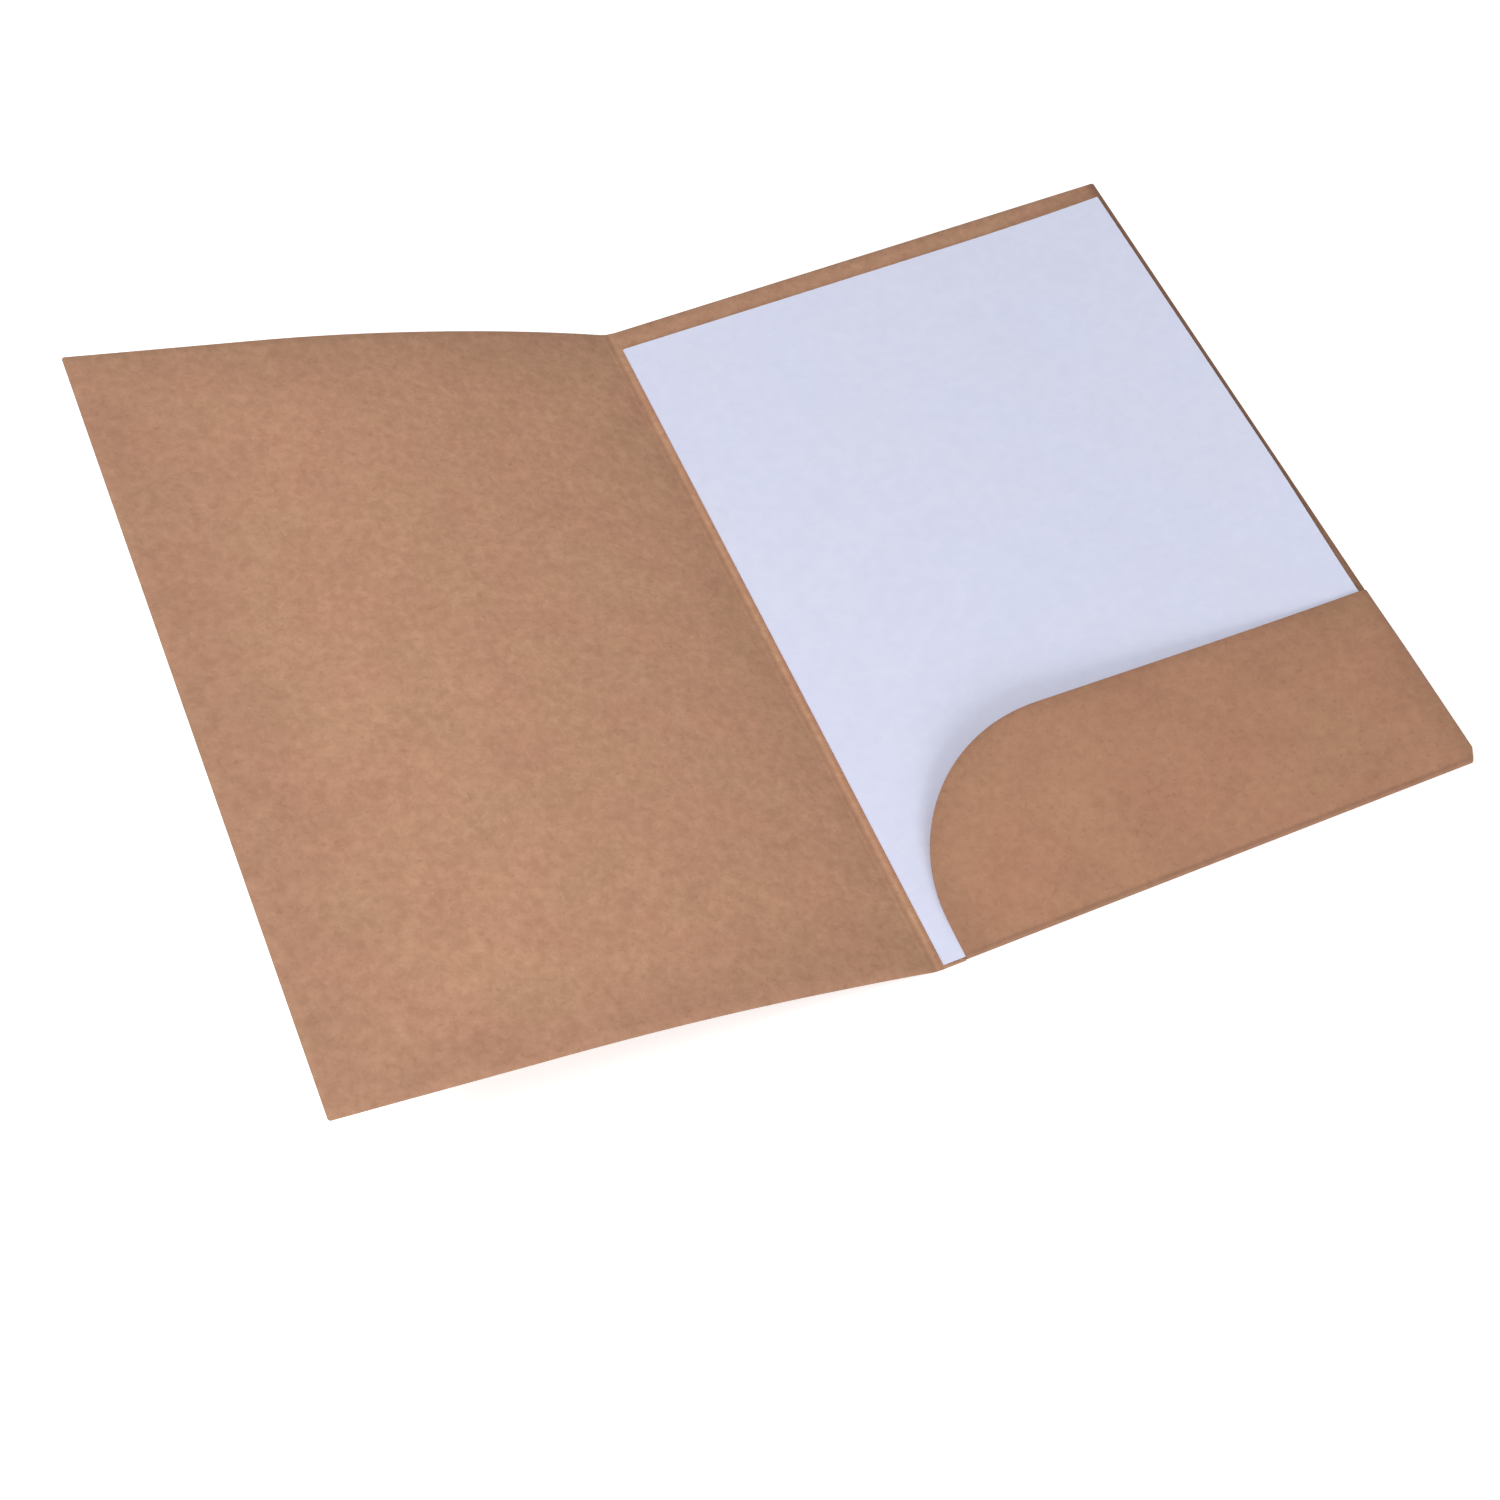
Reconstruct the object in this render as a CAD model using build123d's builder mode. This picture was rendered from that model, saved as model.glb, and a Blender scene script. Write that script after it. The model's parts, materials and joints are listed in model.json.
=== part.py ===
"""A4 document folder of creased kraft board, lying open with its sheets in the pocket.

The back cover lies flat. A flap turned up from its foot and glued along the fore edge makes the pocket.
The front cover stands open on a double-creased spine, bowed next to the crease and a little twisted.
All lengths are in millimetres and all angles in degrees.
The origin is the middle of the back cover's outer face, +X to its fore edge, +Y to its head and +Z up.
"""

import os
from math import cos, degrees, radians, sin

from build123d import *

# The sheets that the folder is made for, and the board that shows around them
sheet_width = 210.0
sheet_height = 297.0
sheet_thickness = 0.1
sheet_gap = 0.05
sheet_count = 5
sheet_spine_margin = 1.5  # from the back crease
sheet_fore_margin = 3.5  # from the fore edge
sheet_foot_margin = 1.0
sheet_head_margin = 10.0

# The board blank
board_thickness = 0.5
spine_width = 3.0  # between the two spine creases
corner_radius = 1.0  # free corners of both covers

# The front cover as it stands open
opening_angle = 25.7  # at the spine, shared by its two creases
twist_angle = 2.3  # the head stands this much steeper than the middle, the foot this much flatter
bow_angle = 10.8  # how far the bowed stretch turns down towards the table
bow_length = 143.0  # of the bowed stretch, from the crease on

# The pocket
pocket_height = 81.5
pocket_inset = 9.5  # from the back crease to the pocket's free edge
pocket_corner_radius = 66.0
pocket_corner_lift = 6.0  # how far the rounded corner stands off the sheets
pocket_clearance = 0.1  # between the sheets and the board over and under them
corner_cut_width = 3.0  # along the foot
corner_cut_height = 6.0  # up the fore edge

# The glue tab turned in behind the pocket
tab_width = 15.0
tab_taper = 7.0  # by which each slanted end narrows
tab_head_margin = 2.0  # below the pocket's upper edge
glue_thickness = 0.1
glue_margin = 2.5  # from the tab's outline to the glue

# Length by which a cutting tool passes the piece that it cuts
overrun = 2.0

quarter_turn = 90.0
half_turn = 180.0

# Both covers, from a spine crease to the fore edge and from the foot to the head
panel_width = sheet_spine_margin + sheet_width + sheet_fore_margin
panel_height = sheet_foot_margin + sheet_height + sheet_head_margin

# Edges of the back cover
fore_edge = panel_width / 2
crease = -panel_width / 2
head = panel_height / 2
foot = -panel_height / 2

# Levels through the pocket, from the back cover's inner face up to the flap's upper face
inner_face = board_thickness
tab_floor = inner_face + glue_thickness
stack_floor = tab_floor + board_thickness + pocket_clearance
sheet_pitch = sheet_thickness + sheet_gap
stack_top = stack_floor + sheet_count * sheet_pitch - sheet_gap
flap_floor = stack_top + pocket_clearance
flap_top = flap_floor + board_thickness

# The two round folds of the pocket, and the flap's edges between them
foot_fold_radius = flap_top / 2
side_fold_radius = (flap_top - tab_floor) / 2
flap_foot = foot + foot_fold_radius
flap_fore = fore_edge - side_fold_radius
flap_spine = crease + pocket_inset
flap_head = foot + pocket_height

foot_section = Plane.XZ.offset(-foot)
head_section = Plane.XZ.offset(-head)


def directions(angle):
    """Unit vectors in a section: along board that rises from the spine at this angle, and down through it."""
    rise = radians(angle)
    return Vector(-cos(rise), sin(rise)), Vector(-sin(rise), -cos(rise))


def cut_pocket_corner():
    """Takes the slanted corner, where the two folds of the pocket meet, off the sketch."""
    Polygon(
        (fore_edge - corner_cut_width, foot),
        (fore_edge, foot),
        (fore_edge, foot + corner_cut_height),
        align=None,
        mode=Mode.SUBTRACT,
    )


def round_fold(center, outer_radius, start_angle):
    """Section of board that is folded back on itself by half a turn."""
    with BuildLine() as section:
        outer = CenterArc(center, outer_radius, start_angle, half_turn)
        inner = CenterArc(center, outer_radius - board_thickness, start_angle, half_turn)
        Line(outer @ 0, inner @ 0)
        Line(outer @ 1, inner @ 1)
    make_face(section.edges())


# The back cover: its foot stops at the foot fold along the pocket
with BuildPart() as back_cover:
    with BuildSketch() as back_outline:
        Polygon(
            (crease, foot),
            (flap_spine, foot),
            (flap_spine, flap_foot),
            (fore_edge, flap_foot),
            (fore_edge, head),
            (crease, head),
            align=None,
        )
        fillet(back_outline.vertices().group_by(Axis.Y)[-1].sort_by(Axis.X)[-1], radius=corner_radius)
        cut_pocket_corner()
    extrude(amount=board_thickness)

# The spine: a narrow strip that takes half of the opening angle at each of its creases
spine_along, spine_under = directions(opening_angle / 2)
back_crease = Vector(crease, inner_face)
front_crease = back_crease + spine_along * spine_width
with BuildPart() as spine_strip:
    with BuildSketch(foot_section):
        Polygon(
            back_crease,
            front_crease,
            front_crease + spine_under * board_thickness,
            back_crease + spine_under * board_thickness,
            align=None,
        )
    extrude(amount=-panel_height)


def cover_section(angle):
    """Section of the front cover: an arc out of the crease at this angle, then straight to the fore edge."""
    along, under = directions(angle)
    bow_radius = bow_length / radians(bow_angle)
    with BuildLine() as section:
        inner_bow = JernArc(front_crease, along, bow_radius, bow_angle)
        outer_bow = JernArc(
            front_crease + under * board_thickness, along, bow_radius - board_thickness, bow_angle
        )
        flat_run = (inner_bow % 1) * (panel_width - bow_length)
        inner_flat = Line(inner_bow @ 1, inner_bow @ 1 + flat_run)
        outer_flat = Line(outer_bow @ 1, outer_bow @ 1 + flat_run)
        Line(inner_bow @ 0, outer_bow @ 0)
        Line(inner_flat @ 1, outer_flat @ 1)
    make_face(section.edges())


# The front cover: ruled from its section at the foot to its steeper section at the head
with BuildPart() as front_cover:
    with BuildSketch(foot_section):
        cover_section(opening_angle - twist_angle)
    with BuildSketch(head_section):
        cover_section(opening_angle + twist_angle)
    loft(ruled=True)
    free_edge = front_cover.faces().sort_by(Axis.X)[0]
    fillet(free_edge.edges().sort_by(SortBy.LENGTH)[:2], radius=corner_radius)

# The foot fold carries the flap up from the back cover
with BuildPart() as foot_fold:
    with BuildSketch(Plane.YZ.offset(flap_spine)):
        round_fold((flap_foot, foot_fold_radius), foot_fold_radius, quarter_turn)
    extrude(amount=fore_edge - flap_spine)
    with BuildSketch():
        Rectangle(panel_width, panel_height)
        cut_pocket_corner()
    extrude(amount=flap_top, mode=Mode.INTERSECT)

# The side fold turns the flap in to its glue tab
with BuildPart() as side_fold:
    with BuildSketch(foot_section):
        round_fold((flap_fore, tab_floor + side_fold_radius), side_fold_radius, -quarter_turn)
    extrude(amount=-pocket_height)
    with BuildSketch():
        Rectangle(panel_width, panel_height)
        cut_pocket_corner()
    extrude(amount=flap_top, mode=Mode.INTERSECT)

# The flap is flat below the diagonal between its two folds, and bends up beyond it to the rounded corner
diagonal = Vector(flap_fore - flap_spine, flap_head - flap_foot)
bend_along = diagonal.normalized()
bend_across = Vector(-bend_along.Y, bend_along.X)
corner_center = Vector(pocket_corner_radius, flap_head - flap_foot - pocket_corner_radius)
bend_reach = bend_across.dot(corner_center) + pocket_corner_radius
flat_reach = -bend_across.dot(Vector(flap_fore - flap_spine, 0)) + overrun
bend_radius = (bend_reach**2 + pocket_corner_lift**2) / (2 * pocket_corner_lift)
bend_size = degrees((bend_reach + pocket_corner_lift + overrun) / bend_radius)
bend_plane = Plane(
    origin=(flap_spine, flap_foot, flap_floor), x_dir=bend_across, z_dir=bend_along
).offset(-overrun)
with BuildPart() as pocket_flap:
    with BuildSketch(Plane.XY.offset(flap_floor)) as flap_outline:
        Polygon(
            (flap_spine, flap_foot),
            (flap_fore, flap_foot),
            (flap_fore, flap_head),
            (flap_spine, flap_head),
            align=None,
        )
        free_corner = flap_outline.vertices().group_by(Axis.Y)[-1].sort_by(Axis.X)[0]
        fillet(free_corner, radius=pocket_corner_radius)
        cut_pocket_corner()
    extrude(amount=board_thickness + pocket_corner_lift + overrun)
    with BuildSketch(bend_plane):
        with BuildLine():
            under_flat = Line((-flat_reach, 0), (0, 0))
            upper_flat = Line((-flat_reach, board_thickness), (0, board_thickness))
            under_bend = JernArc(under_flat @ 1, under_flat % 1, bend_radius, bend_size)
            upper_bend = JernArc(
                upper_flat @ 1, upper_flat % 1, bend_radius - board_thickness, bend_size
            )
            Line(under_flat @ 0, upper_flat @ 0)
            Line(under_bend @ 1, upper_bend @ 1)
        make_face()
    extrude(amount=diagonal.length + 2 * overrun, mode=Mode.INTERSECT)


def tab_outline():
    """The glue tab's shape, with both ends slanted back from the side fold."""
    tab_foot = foot + corner_cut_height
    tab_head = flap_head - tab_head_margin
    Polygon(
        (flap_fore, tab_foot),
        (flap_fore, tab_head),
        (flap_fore - tab_width, tab_head - tab_taper),
        (flap_fore - tab_width, tab_foot + tab_taper),
        align=None,
    )


with BuildPart() as glue_tab:
    with BuildSketch(Plane.XY.offset(tab_floor)):
        tab_outline()
    extrude(amount=board_thickness)

with BuildPart() as glue_line:
    with BuildSketch(Plane.XY.offset(inner_face)):
        tab_outline()
        offset(amount=-glue_margin, kind=Kind.INTERSECTION)
    extrude(amount=glue_thickness)

pieces = {
    "back_cover": back_cover,
    "spine_strip": spine_strip,
    "front_cover": front_cover,
    "foot_fold": foot_fold,
    "side_fold": side_fold,
    "pocket_flap": pocket_flap,
    "glue_tab": glue_tab,
    "glue_line": glue_line,
}

# The sheets stand on the foot fold's inside, one over the other, with the lowest on the glue tab
sheet_middle = (
    crease + sheet_spine_margin + sheet_width / 2,
    foot + sheet_foot_margin + sheet_height / 2,
)
for number in range(sheet_count):
    with BuildPart() as sheet:
        with BuildSketch(Plane.XY.offset(stack_floor + number * sheet_pitch)):
            with Locations(sheet_middle):
                Rectangle(sheet_width, sheet_height)
        extrude(amount=sheet_thickness)
    pieces[f"sheet_{number + 1}"] = sheet

os.makedirs("parts", exist_ok=True)
for name, piece in pieces.items():
    piece.part.label = name
    export_step(piece.part, f"parts/{name}.step")
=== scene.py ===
# %% [markdown]
# # A pocket folder of kraft board
#
# The folder is one blank of brown board: two covers, a narrow spine between two scores, and a flap
# that is turned up at the foot of the back cover and glued along its fore edge. Loose sheets stand
# in the pocket. The solids come packed, in metres, and they fix every size and every place. This
# lesson dresses them: each board gets a skin that bends as board bends, and finishes made of nodes.

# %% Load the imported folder
import json
from math import atan2, ceil, cos, degrees, pi, radians, sin, sqrt

import bmesh
import bpy
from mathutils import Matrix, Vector, kdtree, noise
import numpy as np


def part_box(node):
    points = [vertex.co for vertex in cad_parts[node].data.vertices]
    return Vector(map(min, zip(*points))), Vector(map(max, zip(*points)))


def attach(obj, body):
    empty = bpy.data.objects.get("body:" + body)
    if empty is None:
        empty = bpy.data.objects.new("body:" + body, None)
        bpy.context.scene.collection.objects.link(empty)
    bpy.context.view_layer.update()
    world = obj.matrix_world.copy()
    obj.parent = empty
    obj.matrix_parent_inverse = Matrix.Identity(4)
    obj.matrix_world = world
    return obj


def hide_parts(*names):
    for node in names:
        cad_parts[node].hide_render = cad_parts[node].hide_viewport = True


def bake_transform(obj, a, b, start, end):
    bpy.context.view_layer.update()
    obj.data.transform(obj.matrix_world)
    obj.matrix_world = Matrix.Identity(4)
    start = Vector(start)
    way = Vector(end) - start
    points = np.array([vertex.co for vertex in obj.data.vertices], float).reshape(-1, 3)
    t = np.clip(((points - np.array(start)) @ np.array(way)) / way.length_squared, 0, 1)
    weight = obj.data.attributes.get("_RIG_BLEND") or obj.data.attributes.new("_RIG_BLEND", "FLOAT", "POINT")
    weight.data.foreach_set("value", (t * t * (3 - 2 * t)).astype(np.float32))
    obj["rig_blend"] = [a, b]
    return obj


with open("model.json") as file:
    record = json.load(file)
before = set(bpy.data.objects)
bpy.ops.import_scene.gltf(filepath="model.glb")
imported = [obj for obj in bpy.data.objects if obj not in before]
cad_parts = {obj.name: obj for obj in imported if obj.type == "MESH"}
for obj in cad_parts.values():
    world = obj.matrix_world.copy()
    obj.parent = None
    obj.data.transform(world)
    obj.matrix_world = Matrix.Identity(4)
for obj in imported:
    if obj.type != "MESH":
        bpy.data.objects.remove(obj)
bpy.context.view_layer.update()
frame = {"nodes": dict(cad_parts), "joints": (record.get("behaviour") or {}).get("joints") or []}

# %% [markdown]
# ## Measures from the frame
#
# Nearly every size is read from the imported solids, so a change there reaches the looks by itself.
# The two hinges lie on the spine's scores. Half of the opening angle is taken by each score, so the
# spine's slope gives the angle at which the front cover leaves it. A bow, a twist or a round corner
# can't be read from a box, so those are written beside the piece that they belong to.

# %% Read the covers, the scores and the pocket
mm = 0.001

back_low, back_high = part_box("back_cover")
flap_low, flap_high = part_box("pocket_flap")
foot_fold_low, foot_fold_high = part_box("foot_fold")
side_fold_low, side_fold_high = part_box("side_fold")
board = back_high.z
foot, head = back_low.y, back_high.y
fore_edge = back_high.x
panel_width = back_high.x - back_low.x

hinges = {
    joint["name"]: Vector(joint["pos_m"]) for joint in frame["joints"] if "pos_m" in joint
}
back_score = hinges["spine_fold"]
front_score = hinges["cover_fold"]
spine_run = front_score - back_score
opening = 2 * atan2(spine_run.z, -spine_run.x)
print("opening angle", round(degrees(opening), 2), "board", board / mm)

# %% [markdown]
# ## Tools for working board
#
# Board is worked flat and then bent, as on a die cutter: a rectangle is added at its size, its
# corners are rounded, it is cut into cells so that it can bend, and its points are moved on to the
# bent form. A grid could be added at once, but rounding a grid's corner spoils its cells, so the
# corners come first. The first tools start a piece and pick its points by their place. Everything
# else is deselected before that, because an operator acts on all that is selected.

# %% Start a piece and pick its points
touch = mm / 100  # points nearer than this lie in one place


def pick(piece):
    """Makes a piece the active object and the only one that is selected."""
    bpy.ops.object.select_all(action="DESELECT")
    piece.select_set(True)
    bpy.context.view_layer.objects.active = piece


def open_piece(piece):
    """Edit mode on one piece, with none of its points selected."""
    pick(piece)
    bpy.ops.object.mode_set(mode="EDIT")
    bpy.ops.mesh.select_mode(type="VERT")
    bpy.ops.mesh.select_all(action="DESELECT")


def close_piece():
    """Back to object mode."""
    bpy.ops.object.mode_set(mode="OBJECT")


def flat_piece(name, low, high, height):
    """A rectangle between two corners, at a height, with its place in its mesh."""
    bpy.ops.object.select_all(action="DESELECT")
    middle = ((low[0] + high[0]) / 2, (low[1] + high[1]) / 2, height)
    bpy.ops.mesh.primitive_plane_add(size=1, location=middle)
    piece = bpy.context.active_object
    piece.name = name
    piece.data.name = name
    bpy.ops.transform.resize(value=(high[0] - low[0], high[1] - low[1], 1))
    bpy.ops.object.transform_apply(location=True, rotation=True, scale=True)
    return piece


def select_points(piece, wanted):
    """Selects the points that pass a test of their place, and the edges and faces between them."""
    mesh = bmesh.from_edit_mesh(piece.data)
    bpy.ops.mesh.select_all(action="DESELECT")
    for point in mesh.verts:
        point.select = wanted(point.co)
    mesh.select_flush(True)
    bmesh.update_edit_mesh(piece.data)


print("points within", touch / mm, "mm count as one place")

# %% [markdown]
# ### Cutting
#
# A knife needs a window, but a bisect by an upright plane cuts just as straight, and it can drop
# what lies beyond the cut. A corner is rounded by a bevel of its one point.

# %% Cut corners, lines and cells
corner_steps = 5


def round_corner(piece, corner, radius, steps=corner_steps):
    """Rounds the corner of a flat piece that lies nearest to a place."""
    open_piece(piece)
    place = Vector((corner[0], corner[1], piece.data.vertices[0].co.z))
    points = bmesh.from_edit_mesh(piece.data).verts
    nearest = min(points, key=lambda point: (point.co - place).length).co.copy()
    select_points(piece, lambda co: (co - nearest).length < touch)
    bpy.ops.mesh.bevel(offset=radius, segments=steps, affect="VERTICES")
    close_piece()


def cut_line(piece, place, across, drop_far_side=False):
    """Cuts a piece by an upright plane, and can drop the side that across points to."""
    open_piece(piece)
    bpy.ops.mesh.select_all(action="SELECT")
    bpy.ops.mesh.bisect(plane_co=place, plane_no=across, clear_outer=drop_far_side)
    close_piece()


def cut_cells(piece, step):
    """Cuts a flat piece into cells no longer than a step, first along x and then along y."""
    for axis, across in ((0, (1, 0, 0)), (1, (0, 1, 0))):
        places = [point.co[axis] for point in piece.data.vertices]
        length = max(places) - min(places)
        count = ceil(length / step)
        for number in range(1, count):
            at = min(places) + length * number / count
            cut_line(piece, [at * share for share in across], across)


print("a corner is rounded in", corner_steps, "steps")

# %% [markdown]
# ### Bending and thickness
#
# A Solidify modifier gives a bent skin its thickness. An extrude would too, but Solidify keeps the
# wall even round a bend and gives the cut edge and the face below material slots of their own, the
# second and the third. Then a bevel takes the hardness off the cut edges, but not off a seam where
# the same board runs on as another piece.

# %% Bend a skin and thicken it
edge_round = 0.12 * mm
edge_steps = 2
rounded_from = radians(50)  # an edge that turns by more is rounded
smooth_below = radians(35)  # faces that turn by less are shaded as one


def move_points(piece, bend):
    """Moves every point of a piece to where bend sends it."""
    for point in piece.data.vertices:
        point.co = bend(point.co)
    piece.data.update()


def round_edges(piece, rounding, seam):
    """Rounds the sharp edges of a piece, other than those that lie on its seam."""
    open_piece(piece)
    bpy.ops.mesh.select_mode(type="EDGE")
    bpy.ops.mesh.edges_select_sharp(sharpness=rounded_from)
    mesh = bmesh.from_edit_mesh(piece.data)
    for edge in mesh.edges:
        if edge.select and all(seam(point.co) for point in edge.verts):
            edge.select_set(False)
    bmesh.update_edit_mesh(piece.data)
    bpy.ops.mesh.bevel(offset=rounding, segments=edge_steps, affect="EDGES", clamp_overlap=True)
    close_piece()


def thicken(piece, thickness, rounding=0, seam=lambda co: False):
    """Gives a skin its thickness below, and rounds its cut edge where a rounding is given."""
    pick(piece)
    wall = piece.modifiers.new("wall", "SOLIDIFY")
    wall.thickness = thickness
    wall.offset = -1
    wall.use_even_offset = True
    wall.material_offset_rim = 1
    wall.material_offset = 2
    bpy.ops.object.modifier_apply(modifier=wall.name)
    if rounding:
        round_edges(piece, rounding, seam)
    bpy.ops.object.shade_smooth_by_angle(angle=smooth_below)
    print(piece.name, "has", len(piece.data.polygons), "faces")


print("cut edges are rounded by", edge_round / mm, "mm")

# %% [markdown]
# ## Nodes
#
# A finish is a tree of nodes. These helpers add one node each and wire it. Every input may be a
# plain number or colour, or the output of another node, so a formula reads in one line.

# %% Nodes that calculate
def feed(tree, socket, value):
    """Links a socket to an output, or gives it a plain number, vector or colour."""
    if isinstance(value, bpy.types.NodeSocket):
        tree.links.new(value, socket)
    else:
        socket.default_value = value


def link_math(tree, operation, first, second):
    """One step of arithmetic."""
    step = tree.nodes.new("ShaderNodeMath")
    step.operation = operation
    feed(tree, step.inputs[0], first)
    feed(tree, step.inputs[1], second)
    return step.outputs[0]


def link_range(tree, value, low, high, start=0.0, end=1.0):
    """Spreads the stretch of a value between low and high over start to end."""
    spread = tree.nodes.new("ShaderNodeMapRange")
    limits = {"From Min": low, "From Max": high, "To Min": start, "To Max": end}
    for name, limit in limits.items():
        feed(tree, spread.inputs[name], limit)
    feed(tree, spread.inputs["Value"], value)
    return spread.outputs["Result"]


# %% [markdown]
# Two more add a mix of colours and a noise, and a third starts a group. A group is a tree that is
# built once and placed in many materials, each time with values of its own.

# %% Nodes that mix, make noise and hold groups
mix_first, mix_second, mix_result = 6, 7, 2  # where a Mix node keeps its colours


def mix_colour(tree, amount, first, second, way="MIX"):
    """Mixes two colours by an amount."""
    mix = tree.nodes.new("ShaderNodeMix")
    mix.data_type = "RGBA"
    mix.blend_type = way
    feed(tree, mix.inputs["Factor"], amount)
    feed(tree, mix.inputs[mix_first], first)
    feed(tree, mix.inputs[mix_second], second)
    return mix.outputs[mix_result]


def link_noise(tree, vector, scale, shift, detail=2.0, roughness=0.5, swirl=0.0):
    """The grey value of a noise, taken from a place of its own so that no two layers agree."""
    moved = tree.nodes.new("ShaderNodeVectorMath")
    moved.operation = "ADD"
    feed(tree, moved.inputs[0], vector)
    feed(tree, moved.inputs[1], shift)
    texture = tree.nodes.new("ShaderNodeTexNoise")
    feed(tree, texture.inputs["Vector"], moved.outputs[0])
    feed(tree, texture.inputs["Scale"], scale)
    feed(tree, texture.inputs["Detail"], detail)
    feed(tree, texture.inputs["Roughness"], roughness)
    feed(tree, texture.inputs["Distortion"], swirl)
    return texture.outputs["Fac"]


def new_group(name, inputs, outputs):
    """An empty node group with named sockets, what it is given and what it has to put out."""
    tree = bpy.data.node_groups.new(name, "ShaderNodeTree")
    for way, sockets in (("INPUT", inputs), ("OUTPUT", outputs)):
        for socket, kind in sockets.items():
            tree.interface.new_socket(socket, in_out=way, socket_type=f"NodeSocket{kind}")
    given = tree.nodes.new("NodeGroupInput").outputs
    made = tree.nodes.new("NodeGroupOutput").inputs
    return tree, given, made


# %% [markdown]
# ## Pulp, the grain that board and paper share
#
# Kraft board and office paper are both felted plant fibres. They show clouds where the pulp lies
# thicker, wisps where bundles of fibres lie together, and close to they show single hairs. One node
# group makes all of them: clouds from a soft noise, wisps from a smaller one that is swirled, and
# hairs from the thin contour lines of a finer noise, broken into short lengths by a mask. A picture
# of paper would repeat itself and fit one size only. Noise reads the place on the board in metres,
# so fibres are equally long on every piece.

# %% Make single hairs
patch_ratio = 0.6  # to the hairs' scale
patch_span = (0.50, 0.62)
noise_middle = 0.5
hair_width = 0.028


def hairs(tree, vector, scale, shift):
    """Short fibres: the thin line where a noise passes its middle, kept only in patches."""
    field = link_noise(tree, vector, scale, shift, detail=1.0)
    off_middle = link_math(tree, "SUBTRACT", field, noise_middle)
    line = link_range(tree, link_math(tree, "ABSOLUTE", off_middle, 0), 0.0, hair_width, 1.0, 0.0)
    patch_scale = link_math(tree, "MULTIPLY", scale, patch_ratio)
    patch = link_noise(tree, vector, patch_scale, shift[::-1], detail=1.0)
    return link_math(tree, "MULTIPLY", line, link_range(tree, patch, *patch_span))


# %% [markdown]
# The layers share three scales, so that a finish sets only those: the tint follows the clouds, the
# specks follow the wisps, and the grain follows the hairs. Each layer is taken from a place of its
# own in the noise. Pale hairs and grain stand up from the face, and dark hairs lie in it.

# %% Build the pulp group
scales = ("Cloud Scale", "Wisp Scale", "Hair Scale")
layers = ("Clouds", "Tint", "Wisps", "Specks", "Pale Hairs", "Dark Hairs", "Grain", "Height")
shifts = {
    "Clouds": (0.0, 0.0, 0.0),
    "Tint": (0.7, 0.3, 0.1),
    "Wisps": (0.3, 0.6, 0.2),
    "Specks": (0.8, 0.1, 0.5),
    "Pale Hairs": (0.11, 0.23, 0.37),
    "Dark Hairs": (0.41, 0.07, 0.19),
    "Grain": (0.2, 0.5, 0.9),
}
tint_ratio = 0.6  # to the clouds' scale
speck_ratio = 2.2  # to the wisps' scale
grain_ratio = 3.0  # to the hairs' scale
speck_span = (0.70, 0.80)  # only the highest spots of a noise become specks
grain_height = 0.8  # against pale hairs, which stand up by one
dark_depth = 0.5


def make_pulp():
    """The node group that makes the layers of felted fibre out of noise."""
    inputs = {"Vector": "Vector", **dict.fromkeys(scales, "Float")}
    tree, given, made = new_group("pulp", inputs, dict.fromkeys(layers, "Float"))
    vector, cloud_scale, wisp_scale, hair_scale = (given[name] for name in inputs)
    tint_scale = link_math(tree, "MULTIPLY", cloud_scale, tint_ratio)
    speck_scale = link_math(tree, "MULTIPLY", wisp_scale, speck_ratio)
    grain_scale = link_math(tree, "MULTIPLY", hair_scale, grain_ratio)
    spots = link_noise(tree, vector, speck_scale, shifts["Specks"], detail=0.0)
    wisps = link_noise(tree, vector, wisp_scale, shifts["Wisps"], roughness=0.6, swirl=0.3)
    grain = link_noise(tree, vector, grain_scale, shifts["Grain"], detail=3.0, roughness=0.6)
    layer = {
        "Clouds": link_noise(tree, vector, cloud_scale, shifts["Clouds"]),
        "Tint": link_noise(tree, vector, tint_scale, shifts["Tint"]),
        "Wisps": wisps,
        "Specks": link_range(tree, spots, *speck_span),
        "Pale Hairs": hairs(tree, vector, hair_scale, shifts["Pale Hairs"]),
        "Dark Hairs": hairs(tree, vector, hair_scale, shifts["Dark Hairs"]),
        "Grain": grain,
    }
    raised = link_math(tree, "MULTIPLY", grain, grain_height)
    raised = link_math(tree, "ADD", layer["Pale Hairs"], raised)
    sunk = link_math(tree, "MULTIPLY", layer["Dark Hairs"], dark_depth)
    layer["Height"] = link_math(tree, "SUBTRACT", raised, sunk)
    for name in layers:
        tree.links.new(layer[name], made[name])
    return tree


pulp = make_pulp()
print("pulp group has", len(pulp.nodes), "nodes")

# %% [markdown]
# ## Felt, from layers to colour
#
# Colour is built up in layers, each from one output of the pulp group: two tones mixed by the
# wisps, multiplied by a shade in the clouds and by another tone in the tint, then a fine grain,
# pale hairs, dark hairs and specks. Last comes the wear and painted shade, which darkens what hands
# have rubbed and where shade is painted. The steps could be laid out in every material anew. All the
# finishes share them, so they are a second group, with the tones and shares as its inputs.

# %% Build the felt group
shares = ("Hair Share", "Speck Share", "Grain Share", "Smoothest", "Roughest", "Wear And Shade")
tones = ("Deep", "Light", "Cloud", "Tint", "Pale", "Dark", "Worn")
wide_span = (0.30, 0.70)  # nearly all of a noise's values
narrow_span = (0.35, 0.65)


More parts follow.
